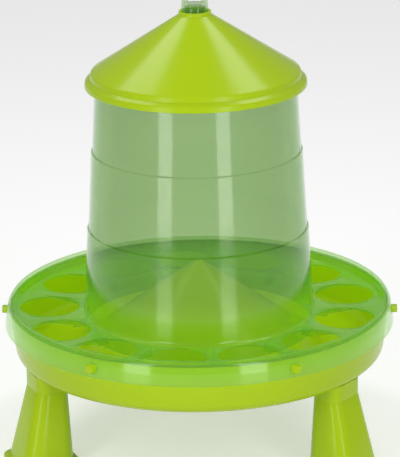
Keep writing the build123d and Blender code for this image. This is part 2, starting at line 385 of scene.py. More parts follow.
def add_node(tree: bpy.types.NodeTree, kind: str, **settings: object) -> bpy.types.Node:
    """Adds a node to a tree and sets its properties."""
    node = tree.nodes.new(kind)
    for key, value in settings.items():
        setattr(node, key, value)
    return node


def moulded_skin() -> bpy.types.NodeTree:
    """Group for the skin of moulded plastic: cloudy colour, uneven gloss and faint ripple.

    Returns:
        The group's tree. It takes two colours, a roughness with its spread and a ripple height,
        and gives a colour, a roughness and a height.
    """
    group = NodeGroup(
        "moulded_skin",
        {
            "Colour": ("NodeSocketColor", (0.5, 0.5, 0.5, 1.0)),
            "Cloud Colour": ("NodeSocketColor", (0.5, 0.5, 0.5, 1.0)),
            "Roughness": ("NodeSocketFloat", 0.3),
            "Roughness Spread": ("NodeSocketFloat", 0.05),
            "Ripple": ("NodeSocketFloat", 0.2),
        },
        {"Colour": "NodeSocketColor", "Roughness": "NodeSocketFloat", "Height": "NodeSocketFloat"},
    )
    place = group.add("ShaderNodeTexCoord").outputs["Object"]
    cloud = group.add("ShaderNodeTexNoise", noise_dimensions="3D")
    cloud.inputs["Scale"].default_value = 14.0
    cloud.inputs["Detail"].default_value = 3.0
    smear = group.add("ShaderNodeTexNoise", noise_dimensions="3D")
    smear.inputs["Scale"].default_value = 60.0
    smear.inputs["Detail"].default_value = 5.0
    ripple = group.add("ShaderNodeTexNoise", noise_dimensions="3D")
    ripple.inputs["Scale"].default_value = 90.0
    ripple.inputs["Detail"].default_value = 1.0
    for noise in (cloud, smear, ripple):
        group.link(place, noise.inputs["Vector"])
    blend = group.add("ShaderNodeMix", data_type="RGBA")
    group.link(cloud.outputs["Fac"], blend.inputs["Factor"])
    group.link(group.source.outputs["Colour"], blend.inputs["A"])
    group.link(group.source.outputs["Cloud Colour"], blend.inputs["B"])
    group.link(blend.outputs["Result"], group.target.inputs["Colour"])
    centred = group.add("ShaderNodeMath", operation="SUBTRACT")
    centred.inputs[1].default_value = 0.5
    group.link(smear.outputs["Fac"], centred.inputs[0])
    rough = group.add("ShaderNodeMath", operation="MULTIPLY_ADD")
    group.link(centred.outputs[0], rough.inputs[0])
    group.link(group.source.outputs["Roughness Spread"], rough.inputs[1])
    group.link(group.source.outputs["Roughness"], rough.inputs[2])
    group.link(rough.outputs[0], group.target.inputs["Roughness"])
    height = group.add("ShaderNodeMath", operation="MULTIPLY")
    group.link(ripple.outputs["Fac"], height.inputs[0])
    group.link(group.source.outputs["Ripple"], height.inputs[1])
    group.link(height.outputs[0], group.target.inputs["Height"])
    return group.tree


@dataclass(frozen=True)
class LimeFinish:
    """Glossy opaque lime plastic.

    Args:
        name: Name of the material.
        colour: Main colour, linear.
        cloud: Colour that it drifts to, linear.
        gloss: Specular level of the skin.
        roughness: Mean roughness of the skin.
        spread: How much the roughness varies.
        ripple: Height of the skin's ripple.
    """

    name: str = "lime_plastic"
    colour: tuple[float, float, float] = (0.480, 0.685, 0.004)
    cloud: tuple[float, float, float] = (0.450, 0.660, 0.005)
    gloss: float = 0.25
    roughness: float = 0.22
    spread: float = 0.05
    ripple: float = 0.02

    def make(self, skin: bpy.types.NodeTree) -> bpy.types.Material:
        """Builds the material.

        Args:
            skin: The moulded skin's group.

        Returns:
            The material.
        """
        material = bpy.data.materials.new(self.name)
        material.use_nodes = True
        tree = material.node_tree
        shader = tree.nodes["Principled BSDF"]
        surface = add_node(tree, "ShaderNodeGroup", node_tree=skin)
        surface.inputs["Colour"].default_value = (*self.colour, 1.0)
        surface.inputs["Cloud Colour"].default_value = (*self.cloud, 1.0)
        shader.inputs["Specular IOR Level"].default_value = self.gloss
        surface.inputs["Roughness"].default_value = self.roughness
        surface.inputs["Roughness Spread"].default_value = self.spread
        surface.inputs["Ripple"].default_value = self.ripple
        bump = add_node(tree, "ShaderNodeBump")
        bump.inputs["Distance"].default_value = 0.001
        tree.links.new(surface.outputs["Height"], bump.inputs["Height"])
        tree.links.new(bump.outputs["Normal"], shader.inputs["Normal"])
        tree.links.new(surface.outputs["Colour"], shader.inputs["Base Color"])
        tree.links.new(surface.outputs["Roughness"], shader.inputs["Roughness"])
        return material


@dataclass(frozen=True)
class Stop:
    """One stop of a colour ramp over the angle at which a face is seen.

    Args:
        edge_on: 0 where the face is seen square on, 1 where it is seen edge on.
        colour: Linear colour at the stop.
    """

    edge_on: float
    colour: tuple[float, float, float]


@dataclass(frozen=True)
class ClearFinish:
    """Milky see-through green plastic. Each face of a wall tints what is behind it, more so
    where the wall is seen edge on, and adds a milky colour of its own. Below the ring's top
    that added colour is brighter and greener. This is painted light, standing in for the strong
    light from above on the ring and the lime light bounced up from the pan below.

    Args:
        name: Name of the material.
        tint: What one face lets through, from square on to edge on.
        wall_milk: Colour that a face of the upper wall adds.
        ring_milk_and_painted_light: Colour that a face of the ring adds. It is the milky colour with painted
            light on top, for the strong light from above and the lime light bounced up from the pan.
        ring_painted_light_top: Height below which the plastic takes the ring's colour with its painted light,
            and the height above which it is as clear as the wall.
        passing: What one face lets through of the light that falls on what is inside.
        gloss: Specular level of the skin.
        roughness: Mean roughness of the skin.
        spread: How much the roughness varies.
        ripple: Height of the skin's ripple.
    """

    name: str = "clear_green_plastic"
    tint: tuple[Stop, ...] = (
        Stop(0.00, (0.700, 0.740, 0.640)),
        Stop(0.40, (0.640, 0.690, 0.570)),
        Stop(0.62, (0.480, 0.540, 0.420)),
        Stop(0.82, (0.200, 0.250, 0.200)),
        Stop(1.00, (0.020, 0.040, 0.020)),
    )
    wall_milk: tuple[Stop, ...] = (
        Stop(0.00, (0.016, 0.060, 0.002)),
        Stop(0.40, (0.018, 0.064, 0.004)),
        Stop(0.70, (0.050, 0.120, 0.020)),
    )
    # Painted light: brighter and greener than the wall's milk, standing in for the light from above on the ring
    # and the lime light bounced up from the pan.
    ring_milk_and_painted_light: tuple[Stop, ...] = (
        Stop(0.00, (0.050, 0.110, 0.006)),
        Stop(0.45, (0.080, 0.190, 0.012)),
        Stop(0.70, (0.100, 0.250, 0.030)),
    )
    ring_painted_light_top: tuple[float, float] = (0.1440, 0.1700)
    passing: tuple[float, float, float] = (0.93, 0.96, 0.86)
    gloss: float = 0.38
    roughness: float = 0.10
    spread: float = 0.03
    ripple: float = 0.02

    def ramp(self, tree: bpy.types.NodeTree, stops: tuple[Stop, ...],
             factor: bpy.types.NodeSocket) -> bpy.types.NodeSocket:
        """Adds a colour ramp with these stops and returns its colour."""
        node = add_node(tree, "ShaderNodeValToRGB")
        elements = node.color_ramp.elements
        while len(elements) < len(stops):
            elements.new(0.5)
        for element, stop in zip(elements, stops):
            element.position = stop.edge_on
            element.color = (*stop.colour, 1.0)
        tree.links.new(factor, node.inputs["Fac"])
        return node.outputs["Color"]

    def make(self, skin: bpy.types.NodeTree) -> bpy.types.Material:
        """Builds the material.

        Args:
            skin: The moulded skin's group.

        Returns:
            The material.
        """
        material = bpy.data.materials.new(self.name)
        material.use_nodes = True
        tree = material.node_tree
        shader = tree.nodes["Principled BSDF"]
        shader.inputs["Specular IOR Level"].default_value = self.gloss
        output = tree.nodes["Material Output"]
        facing = add_node(tree, "ShaderNodeLayerWeight")
        facing.inputs["Blend"].default_value = 0.35
        edge_on = facing.outputs["Facing"]
        surface = add_node(tree, "ShaderNodeGroup", node_tree=skin)
        surface.inputs["Roughness"].default_value = self.roughness
        surface.inputs["Roughness Spread"].default_value = self.spread
        surface.inputs["Ripple"].default_value = self.ripple
        place = add_node(tree, "ShaderNodeTexCoord")
        parts = add_node(tree, "ShaderNodeSeparateXYZ")
        tree.links.new(place.outputs["Object"], parts.inputs[0])
        above = add_node(tree, "ShaderNodeMapRange", interpolation_type="SMOOTHSTEP")
        above.inputs["From Min"].default_value, above.inputs["From Max"].default_value = self.ring_painted_light_top
        tree.links.new(parts.outputs["Z"], above.inputs["Value"])
        # Below ring_painted_light_top the faces add the ring's colour, which holds painted light from above and
        # from the lime pan below.
        milk_and_painted_light = add_node(tree, "ShaderNodeMix", data_type="RGBA")
        tree.links.new(above.outputs["Result"], milk_and_painted_light.inputs["Factor"])
        tree.links.new(self.ramp(tree, self.ring_milk_and_painted_light, edge_on), milk_and_painted_light.inputs["A"])
        tree.links.new(self.ramp(tree, self.wall_milk, edge_on), milk_and_painted_light.inputs["B"])
        bump = add_node(tree, "ShaderNodeBump")
        bump.inputs["Distance"].default_value = 0.001
        tree.links.new(surface.outputs["Height"], bump.inputs["Height"])
        tree.links.new(bump.outputs["Normal"], shader.inputs["Normal"])
        tree.links.new(milk_and_painted_light.outputs["Result"], shader.inputs["Base Color"])
        tree.links.new(surface.outputs["Roughness"], shader.inputs["Roughness"])
        path = add_node(tree, "ShaderNodeLightPath")
        lighting = add_node(tree, "ShaderNodeMath", operation="MAXIMUM")
        tree.links.new(path.outputs["Is Shadow Ray"], lighting.inputs[0])
        tree.links.new(path.outputs["Is Diffuse Ray"], lighting.inputs[1])
        tint = add_node(tree, "ShaderNodeMix", data_type="RGBA")
        tint.inputs["B"].default_value = (*self.passing, 1.0)
        tree.links.new(lighting.outputs[0], tint.inputs["Factor"])
        tree.links.new(self.ramp(tree, self.tint, edge_on), tint.inputs["A"])
        through = add_node(tree, "ShaderNodeBsdfTransparent")
        tree.links.new(tint.outputs["Result"], through.inputs["Color"])
        both = add_node(tree, "ShaderNodeAddShader")
        tree.links.new(through.outputs[0], both.inputs[0])
        tree.links.new(shader.outputs[0], both.inputs[1])
        tree.links.new(both.outputs[0], output.inputs["Surface"])
        return material


@dataclass(frozen=True)
class Finishes:
    """The two plastics of the feeder."""

    lime: bpy.types.Material
    clear: bpy.types.Material


@dataclass(frozen=True)
class Levels:
    """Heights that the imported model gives.

    Args:
        foot: Underside of the legs.
        seam: Lower end of the pan's leg sockets.
        spreader_top: Top of the spreader cone.
        apron: Lower edge of the hopper's fins' tabs.
        mouth: Top of the hopper.
        lid_top: Top of the lid's collar.
        eye_top: Top of the hanging eye.
    """

    foot: float
    seam: float
    spreader_top: float
    apron: float
    mouth: float
    lid_top: float
    eye_top: float

    @classmethod
    def read(cls) -> "Levels":
        """Reads the heights off the CAD nodes' boxes."""
        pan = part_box("base_pan")
        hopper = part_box("hopper")
        return cls(
            foot=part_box("leg_left")[0].z,
            seam=pan[0].z,
            spreader_top=pan[1].z,
            apron=hopper[0].z,
            mouth=hopper[1].z,
            lid_top=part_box("lid")[1].z,
            eye_top=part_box("hanger")[1].z,
        )


@dataclass
class LegPlan:
    """Rounded trapezoid that a leg and its socket share, wide side outwards.

    Args:
        outer_r: Distance of the wide side from the axis.
        inner_r: Distance of the narrow side.
        half_width: Half the wide side.
        slope: How fast the sides close in.
        corner: Radius of the corners.
    """

    outer_r: float = 0.1674
    inner_r: float = 0.1366
    half_width: float = 0.0229
    slope: float = 0.22
    corner: float = 0.0098

    def corners(self, inset: float = 0.0) -> list[Corner]:
        """Corners of the outline, drawn for the leg on the +X side.

        Args:
            inset: How far inside the leg's own outline this one lies.

        Returns:
            The four rounded corners.
        """
        lean = math.hypot(1.0, self.slope)
        outer = self.outer_r - inset
        inner = self.inner_r + inset
        wide = self.half_width - inset * (lean - self.slope)
        narrow = wide - (outer - inner) * self.slope
        radius = max(self.corner - inset, 0.001)
        spots = ((outer, wide), (inner, narrow), (inner, -narrow), (outer, -wide))
        return [Corner(u, v, radius) for u, v in spots]


LEG_ANGLES = {"leg_left": -154.6, "leg_right": -34.6, "leg_rear": 85.4}
PEG_ANGLES = [math.radians(60.0 * i) for i in range(6)]


@dataclass
class FeedPan:
    """The feed pan: dish, spreader cone, leg sockets and pegs in one moulding.

    Args:
        levels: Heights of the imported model.
        wall: Wall thickness.
        underside: Height of the dish's underside.
        rim: Height of the rim.
        land: Height of the upright stretch below the rim.
        rim_r: Outer radius of the rim.
        draft: How fast the wall closes in downwards.
        corner: Outer radius between wall and bottom.
        nose: Radius of the spreader's tip.
        spread: Slope of the spreader, in degrees.
        blend: Radius between spreader and bottom.
        socket_wall: Wall of the leg sockets.
        peg_reach: Distance of the pegs' ends from the axis.
        peg_size: Length, width and height of a peg.
        peg_middle: Height of the pegs' middle.
        peg_round: Rounding of the pegs' lower corners.
    """

    levels: Levels
    wall: float = 0.0023
    underside: float = 0.0880
    rim: float = 0.1340
    land: float = 0.0040
    rim_r: float = 0.1750
    draft: float = 0.115
    corner: float = 0.0100
    nose: float = 0.0100
    spread: float = 36.2
    blend: float = 0.0250
    socket_wall: float = 0.0026
    peg_reach: float = 0.1836
    peg_size: tuple[float, float, float] = (0.0120, 0.0070, 0.0064)
    peg_middle: float = 0.1260
    peg_round: float = 0.0024
    leg_plan: LegPlan = field(default_factory=LegPlan)

    def section(self) -> list[Corner]:
        """Half section of dish and spreader, from the axis round to the axis."""
        slope = math.radians(self.spread)
        top = self.levels.spreader_top
        floor = self.underside + self.wall
        tip = [(self.nose * math.sin(slope * i / 5), top - self.nose * (1 - math.cos(slope * i / 5)))
               for i in range(6)]
        foot_r = tip[-1][0] + (tip[-1][1] - floor) / math.tan(slope)
        inner_r = self.rim_r - self.wall
        floor_r = inner_r - (self.rim - self.land - floor) * self.draft
        line = [tip[-1], (foot_r, floor), (floor_r, floor), (inner_r, self.rim - self.land),
                (inner_r, self.rim)]
        radii = [self.blend, self.corner - self.wall, 0.006]
        walls = shell(line, radii, self.wall)
        upper = [Corner(u, v) for u, v in tip[:-1]]
        lower_nose = self.nose - self.wall
        lower = [(lower_nose * math.sin(slope * i / 5),
                  top - self.wall - lower_nose * (1 - math.cos(slope * i / 5))) for i in range(5)]
        return upper + walls + [Corner(u, v) for u, v in lower[::-1]]

    def build(self, finishes: Finishes) -> bpy.types.Object:
        """Builds and dresses the pan.

        Args:
            finishes: The feeder's plastics.

        Returns:
            The finished object.
        """
        pan = Workpiece("base_pan_moulding").draw(self.section(), closed=False).revolve()
        floor = self.underside + self.wall
        sockets = Workpiece("sockets").draw(self.leg_plan.corners(), sheet=Sheet.LEVEL,
                                            level=self.levels.seam)
        sockets.thicken((0, 0, floor - 0.0006 - self.levels.seam))
        hollows = Workpiece("hollows").draw(self.leg_plan.corners(self.socket_wall),
                                            sheet=Sheet.LEVEL, level=self.levels.seam - 0.001)
        hollows.thicken((0, 0, self.underside + 0.001 - self.levels.seam))
        angles = [math.radians(a) for a in LEG_ANGLES.values()]
        pan.combine(sockets.around(angles), Cut.ADD)
        pan.combine(hollows.around(angles), Cut.REMOVE)
        pan.combine(self.pegs(), Cut.ADD)
        return pan.finish(["base_pan"], finishes.lime, Plastic.LIME)

    def pegs(self) -> Workpiece:
        """The pegs round the wall: flat on top, rounded below."""
        length, width, height = self.peg_size
        low, high = self.peg_middle - height / 2, self.peg_middle + height / 2
        corners = [Corner(-width / 2, high, 0.0004, 2), Corner(width / 2, high, 0.0004, 2),
                   Corner(width / 2, low, self.peg_round), Corner(-width / 2, low, self.peg_round)]
        peg = Workpiece("pegs").draw(corners, level=-self.peg_reach)
        peg.thicken((0, length, 0))
        peg.round_edges(lambda at, edge: at.y < -self.peg_reach + MERGE, 0.0004)
        return peg.around([angle + math.pi / 2 for angle in PEG_ANGLES])


@dataclass
class HopperRing:
    """The see-through hopper with its feeding ring, skirt, apron and fins in one moulding.

    Args:
        levels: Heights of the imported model.
        wall: Wall thickness.
        mouth_r: Outer radius at the mouth.
        land: Height of the upright stretch at the mouth.
        taper: How much the radius grows for each metre down.
        step: Width and height of the two outward steps.
        steps_at: Heights of the steps.
        apron: Lower edge of the wall below the ring.
        deck: Radius of the flat deck's outer corner, and its height.
        rim: Radius and height of crest, shoulder, ledge and skirt's edge.
        rim_radii: Rounding of the corners from the deck outwards.
        junction: Radius between wall and deck.
        holes: Number of feeding holes.
        hole_r: Radius of a hole.
        hole_circle_r: Radius of the circle that the holes' middles lie on.
        first_hole: Angle of the first hole, in degrees.
        hole_round: Rounding of the holes' edges.
        fin_wall: Thickness of the fins.
        fin_root: Height of a fin's lower edge at the wall.
        fin_slope: How fast that edge rises outwards.
        tab: Inner and outer radius of the tab below a fin.
        tab_bottom: Height of the tab's lower edge.
        seat_rib: Inner and outer radius of the rib that rests on the pan's rim.
        rim_seat: Height of that rib's lower edge.
        peg_window: Width and height of the windows for the pan's pegs.
        peg_middle: Height of those windows' middle.
        tongue_window: Width and height of the windows for the hanger's tongues.
        tongue_middle: Height of those windows' middle.
    """

    levels: Levels
    wall: float = 0.0020
    mouth_r: float = 0.0912
    land: float = 0.0030
    taper: float = 0.056
    step: float = 0.0012
    steps_at: tuple[float, float] = (0.2820, 0.2090)
    apron: float = 0.1125
    deck: tuple[float, float] = (0.1690, 0.1290)
    rim: tuple[tuple[float, float], ...] = (
        (0.1720, 0.1416), (0.1774, 0.1366), (0.1788, 0.1290), (0.1802, 0.1180))
    rim_radii: tuple[float, ...] = (0.0012, 0.0024, 0.0040, 0.0030)
    junction: float = 0.0030
    holes: int = 13
    hole_r: float = 0.0281
    hole_circle_r: float = 0.1390
    first_hole: float = 180.0
    hole_round: float = 0.0006
    fin_wall: float = 0.0016
    fin_root: float = 0.1182
    fin_slope: float = 0.186
    tab: tuple[float, float] = (0.1112, 0.1190)
    tab_bottom: float = 0.1184
    seat_rib: tuple[float, float] = (0.1729, 0.1747)
    rim_seat: float = 0.1340
    peg_window: tuple[float, float] = (0.0086, 0.0080)
    peg_middle: float = 0.1260
    tongue_window: tuple[float, float] = (0.0110, 0.0056)
    tongue_middle: float = 0.3475

    def radius(self, z: float) -> float:
        """Outer radius of the wall at height z."""
        passed = sum(z < level for level in self.steps_at)
        return self.mouth_r + (self.levels.mouth - z) * self.taper + passed * self.step

    def section(self) -> list[Corner]:
        """Closed half section of wall, ring, skirt and apron."""
        half = self.step / 2
        outer_r, deck_z = self.deck
        land_r = self.radius(self.levels.mouth - self.land)
        top = [(land_r, self.levels.mouth), (land_r, self.levels.mouth - self.land)]
        for level in self.steps_at:
            top += [(self.radius(level + half), level + half), (self.radius(level - half), level - half)]
        outside = top + [(self.radius(deck_z), deck_z)]
        bottom_r = self.radius(self.apron)
        inside = beside(top + [(bottom_r, self.apron)], self.wall)
        ring_painted_light_top = [(outer_r, deck_z), *self.rim]
        ring_under = beside([(self.radius(deck_z), deck_z), *ring_painted_light_top], self.wall)
        under_z = deck_z - self.wall
        rim_inner = [max(r + turn * self.wall, 0.0003)
                     for r, turn in zip(self.rim_radii, (1, -1, -1, 1))]
        corners = [Corner(u, v, 0.0004 if i == 0 else 0.0, 2) for i, (u, v) in enumerate(outside[:-1])]
        corners.append(Corner(*outside[-1], self.junction))
        corners += [Corner(u, v, r) for (u, v), r in zip(ring_painted_light_top, (*self.rim_radii, 0.0006))]
        corners += [Corner(u, v, r) for (u, v), r in
                    zip(ring_under[:0:-1], (0.0006, *rim_inner[::-1]))]
        corners.append(Corner(self.radius(under_z), under_z, 0.0010, 3))
        corners.append(Corner(bottom_r, self.apron, 0.0006, 2))
        corners += [Corner(u, v, 0.0006 if i == 0 else 0.0, 2)
                    for i, (u, v) in enumerate(inside[::-1])]
        return corners

    def fins(self) -> Workpiece:
        """The thin fins below the deck, one between each pair of holes, with their tabs."""
        middle_z = self.deck[1] - self.wall / 2
        wall_r = self.radius(self.deck[1])
        root_r = wall_r - self.wall / 2
        tab_in, tab_out = self.tab

        def lower_edge(r: float) -> float:
            return self.fin_root + (r - wall_r) * self.fin_slope

        corners = [
            Corner(root_r, middle_z),
            Corner(wall_r + (middle_z - self.fin_root) / self.fin_slope, middle_z),
            Corner(tab_out, lower_edge(tab_out), 0.0004, 2),
            Corner(tab_out, self.tab_bottom, 0.0008, 4),
            Corner(tab_in, self.tab_bottom, 0.0006, 4),
            Corner(tab_in, lower_edge(tab_in)),
            Corner(root_r, lower_edge(root_r)),
        ]
        fin = Workpiece("fins").draw(corners, level=-self.fin_wall / 2)
        fin.thicken((0, self.fin_wall, 0))
        pitch = 360.0 / self.holes
        return fin.around([math.radians(self.first_hole + (i + 0.5) * pitch)
                           for i in range(self.holes)])

    def openings(self) -> Workpiece:
        """Everything that is cut out: feeding holes, peg windows and tongue windows."""
        bpy.ops.object.select_all(action="DESELECT")
        bpy.ops.mesh.primitive_cylinder_add(vertices=96, radius=self.hole_r, depth=0.040,
                                            location=(self.hole_circle_r, 0, self.deck[1]))
        hole = Workpiece("feeding_holes")
        hole.object = bpy.context.object
        hole.turn(0.0)
        pitch = 360.0 / self.holes
        holes = hole.around([math.radians(self.first_hole + i * pitch) for i in range(self.holes)])
        pegs = self.window("peg_windows", self.peg_window, self.peg_middle, self.rim[-1][0])
        tongues = self.window("tongue_windows", self.tongue_window, self.tongue_middle, self.mouth_r)
        return joined("openings", [holes, pegs.around(PEG_ANGLES),
                                   tongues.around([0.0, math.pi])])

    def window(self, name: str, size: tuple[float, float], middle: float, r: float) -> Workpiece:
        """A block that cuts a window of this width and height through a wall at radius r."""
        width, height = size
        corners = [Corner(u, v, 0.0006, 2) for u, v in (
            (-width / 2, middle - height / 2), (width / 2, middle - height / 2),
            (width / 2, middle + height / 2), (-width / 2, middle + height / 2))]
        block = Workpiece(name).draw(corners, level=r - 0.0040)
        block.thicken((0, 0.008, 0))
        return block.turn(-math.pi / 2)

    def build(self, finishes: Finishes) -> bpy.types.Object:
        """Builds and dresses the hopper.

        Args:
            finishes: The feeder's plastics.

        Returns:
            The finished object.
        """
        hopper = Workpiece("hopper_moulding").draw(self.section()).revolve()
        rib_in, rib_out = self.seat_rib
        rib_top = self.rim[0][1] - 0.0016
        rib = Workpiece("seat_rib").draw(
            [Corner(rib_in, self.rim_seat), Corner(rib_out, self.rim_seat), Corner(rib_out, rib_top),
             Corner(rib_in, rib_top)]).revolve()
        hopper.combine(rib, Cut.ADD)
        hopper.combine(self.fins(), Cut.ADD)
        hopper.combine(self.openings(), Cut.REMOVE)
        hopper.round_edges(self.on_hole_edge, self.hole_round)
        return hopper.finish(["hopper"], finishes.clear, Plastic.CLEAR)

    def on_hole_edge(self, at: Vector, edge: bmesh.types.BMEdge) -> bool:
        """Whether an edge lies where a feeding hole's wall meets the deck's faces."""
        pitch = math.radians(360.0 / self.holes)
        first = math.radians(self.first_hole)
        for vert in edge.verts:
            angle = math.atan2(vert.co.y, vert.co.x)
            nearest = first + round((angle - first) / pitch) * pitch
            middle = Vector((math.cos(nearest), math.sin(nearest))) * self.hole_circle_r
            if abs((vert.co.xy - middle).length - self.hole_r) > 0.0002:
                return False
            if min(abs(vert.co.z - self.deck[1]), abs(vert.co.z - self.deck[1] + self.wall)) > 0.0001:
                return False
        return edge.is_manifold and edge.calc_face_angle(0.0) > math.radians(40.0)


@dataclass
class Lid:
    """The conical lid: collar, cone, short band and flared lip, with a seat ring inside.

    Args:
        levels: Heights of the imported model.
        wall: Wall thickness.
        collar_r: Outer radius of the collar.
        collar_height: Height of the collar.
        slope: Slope of the cone, in degrees.
        band_r: Outer radius of the band.
        band_bottom: Lower edge of the band.
        lip: Radius and height of the lip's bend and of its edge.
        seat_r: Outer radius of the seat ring.
        seat_width: Width of the seat ring.
    """

    levels: Levels
    wall: float = 0.0022
    collar_r: float = 0.0149
    collar_height: float = 0.0036
    slope: float = 33.0
    band_r: float = 0.0954
    band_bottom: float = 0.3500
    lip: tuple[tuple[float, float], ...] = ((0.1004, 0.3470), (0.1010, 0.3420))
    seat_r: float = 0.0916
    seat_width: float = 0.0026

    def section(self) -> list[Corner]:
        """Closed half section of the lid."""
        steep = math.tan(math.radians(self.slope))
        cone_top = self.levels.lid_top - self.collar_height
        line = [
            (self.collar_r - 0.0003, self.levels.lid_top),
            (self.collar_r, cone_top),
            (self.band_r, cone_top - (self.band_r - self.collar_r) * steep),
            (self.band_r + 0.0002, self.band_bottom),
            *self.lip,
        ]
        outline = shell(line, [0.0008, 0.0030, 0.0012, 0.0026], self.wall)
        outer, inner = outline[:len(line)], outline[len(line):]

        def under_cone(r: float) -> float:
            return cone_top - (r - self.collar_r) * steep - self.wall / math.cos(math.radians(self.slope))

        seat_in = self.seat_r - self.seat_width
        seat = [Corner(self.seat_r, under_cone(self.seat_r)), Corner(self.seat_r, self.levels.mouth, 0.0003, 2),
                Corner(seat_in, self.levels.mouth, 0.0003, 2), Corner(seat_in, under_cone(seat_in))]
        ends = [Corner(outer[0].u, outer[0].v, 0.0007, 3), *outer[1:-1],
                Corner(outer[-1].u, outer[-1].v, 0.0007, 3)]
        inner[0] = Corner(inner[0].u, inner[0].v, 0.0007, 3)
        inner[-1] = Corner(inner[-1].u, inner[-1].v, 0.0007, 3)
        return ends + inner[:4] + seat + inner[4:]

    def build(self, finishes: Finishes) -> bpy.types.Object:
        """Builds and dresses the lid.

        Args:
            finishes: The feeder's plastics.

        Returns:
            The finished object.
        """
        lid = Workpiece("lid_moulding").draw(self.section()).revolve()
        return lid.finish(["lid"], finishes.lime, Plastic.LIME)


@dataclass
class Hanger:
    """The hanger: channel-shaped bridge, hollow stem and hanging eye in one moulding.

    Args:
        levels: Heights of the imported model.
        wall: Wall thickness.
        stem_r: Outer radius of the stem.
        stem_top: Height of the stem's top.
        bridge_half: Half the bridge's length.
        bridge_size: Width and height of the bridge.
        bridge_top: Height of the bridge's top.
        tongue_half: Half the length over the tongues.
        tongue_size: Width and height of a tongue.
        eye_size: Width and depth of the eye.
        window: Width and top of the eye's window.
        flare: How much each side of the eye widens towards its foot.
    """

    levels: Levels
    wall: float = 0.0025
    stem_r: float = 0.0120
    stem_top: float = 0.4162
    bridge_half: float = 0.0885
    bridge_size: tuple[float, float] = (0.0160, 0.0090)
    bridge_top: float = 0.3520
    tongue_half: float = 0.0912
    tongue_size: tuple[float, float] = (0.0104, 0.0050)
    eye_size: tuple[float, float] = (0.0220, 0.0110)
    window: tuple[float, float] = (0.0100, 0.4330)
    flare: float = 0.0008

    def block(self, name: str, half: tuple[float, float], low: float, high: float) -> Workpiece:
        """An upright block centred on the axis, with half its length and width given."""
        corners = [Corner(u * half[0], v * half[1], 0.0006, 2)
                   for u, v in ((-1, -1), (1, -1), (1, 1), (-1, 1))]
        return Workpiece(name).draw(corners, sheet=Sheet.LEVEL, level=low).thicken((0, 0, high - low))

    def barrel(self, name: str, r: float, low: float, high: float) -> Workpiece:
        """An upright barrel round the axis, its top edge rounded."""
        corners = [Corner(0.0, low), Corner(r, low), Corner(r, high, 0.0008, 3), Corner(0.0, high)]
        return Workpiece(name).draw(corners, closed=False).revolve(96)

    def arch(self, name: str, width: float, top: float, low: float, depth: float) -> Workpiece:
        """A solid arch of this width and top, standing on the height low, depth thick."""
        half = width / 2
        middle = top - half
        turns = [math.pi * i / 24 for i in range(25)]
        corners = [Corner(half + self.flare, low)]
        corners += [Corner(half * math.cos(turn), middle + half * math.sin(turn)) for turn in turns]
        corners.append(Corner(-half - self.flare, low))
        return Workpiece(name).draw(corners, level=-depth / 2).thicken((0, depth, 0))

    def build(self, finishes: Finishes) -> bpy.types.Object:
        """Builds and dresses the hanger.

        Args:
            finishes: The feeder's plastics.

        Returns:
            The finished object.
        """
        width, height = self.bridge_size
        low = self.bridge_top - height
        hanger = self.block("hanging_eye", (self.bridge_half, width / 2), low, self.bridge_top)
        hanger.combine(self.barrel("stem", self.stem_r, low, self.stem_top), Cut.ADD)
        hanger.combine(self.block("channel", (self.bridge_half - self.wall, width / 2 - self.wall),
                                  low - 0.001, self.bridge_top - self.wall), Cut.REMOVE)
        hanger.combine(self.barrel("bore", self.stem_r - self.wall, low - 0.001,
                                   self.stem_top - self.wall), Cut.REMOVE)
        tongue_width, tongue_height = self.tongue_size
        middle = self.bridge_top - height / 2
        tongues = self.block("tongues", (self.tongue_half, tongue_width / 2),
                             middle - tongue_height / 2, middle + tongue_height / 2)
        reach = self.bridge_half - self.wall
        tongues.combine(self.block("gap", (reach, width), low - 0.001, self.bridge_top + 0.001), Cut.REMOVE)
        hanger.combine(tongues, Cut.ADD)
        eye_width, eye_depth = self.eye_size
        eye = self.arch("eye", eye_width, self.levels.eye_top, self.stem_top - 0.001, eye_depth)
        window_width, window_top = self.window
        eye.combine(self.arch("eye_window", window_width, window_top, self.stem_top, 2 * eye_depth), Cut.REMOVE)
        eye.round_edges(lambda at, edge: edge.calc_face_angle(0.0) > math.radians(50.0)
                        and at.z > self.stem_top + 0.0002, 0.0009)
        hanger.combine(eye, Cut.ADD)
        return hanger.finish(["hanger"], finishes.clear, Plastic.CLEAR)


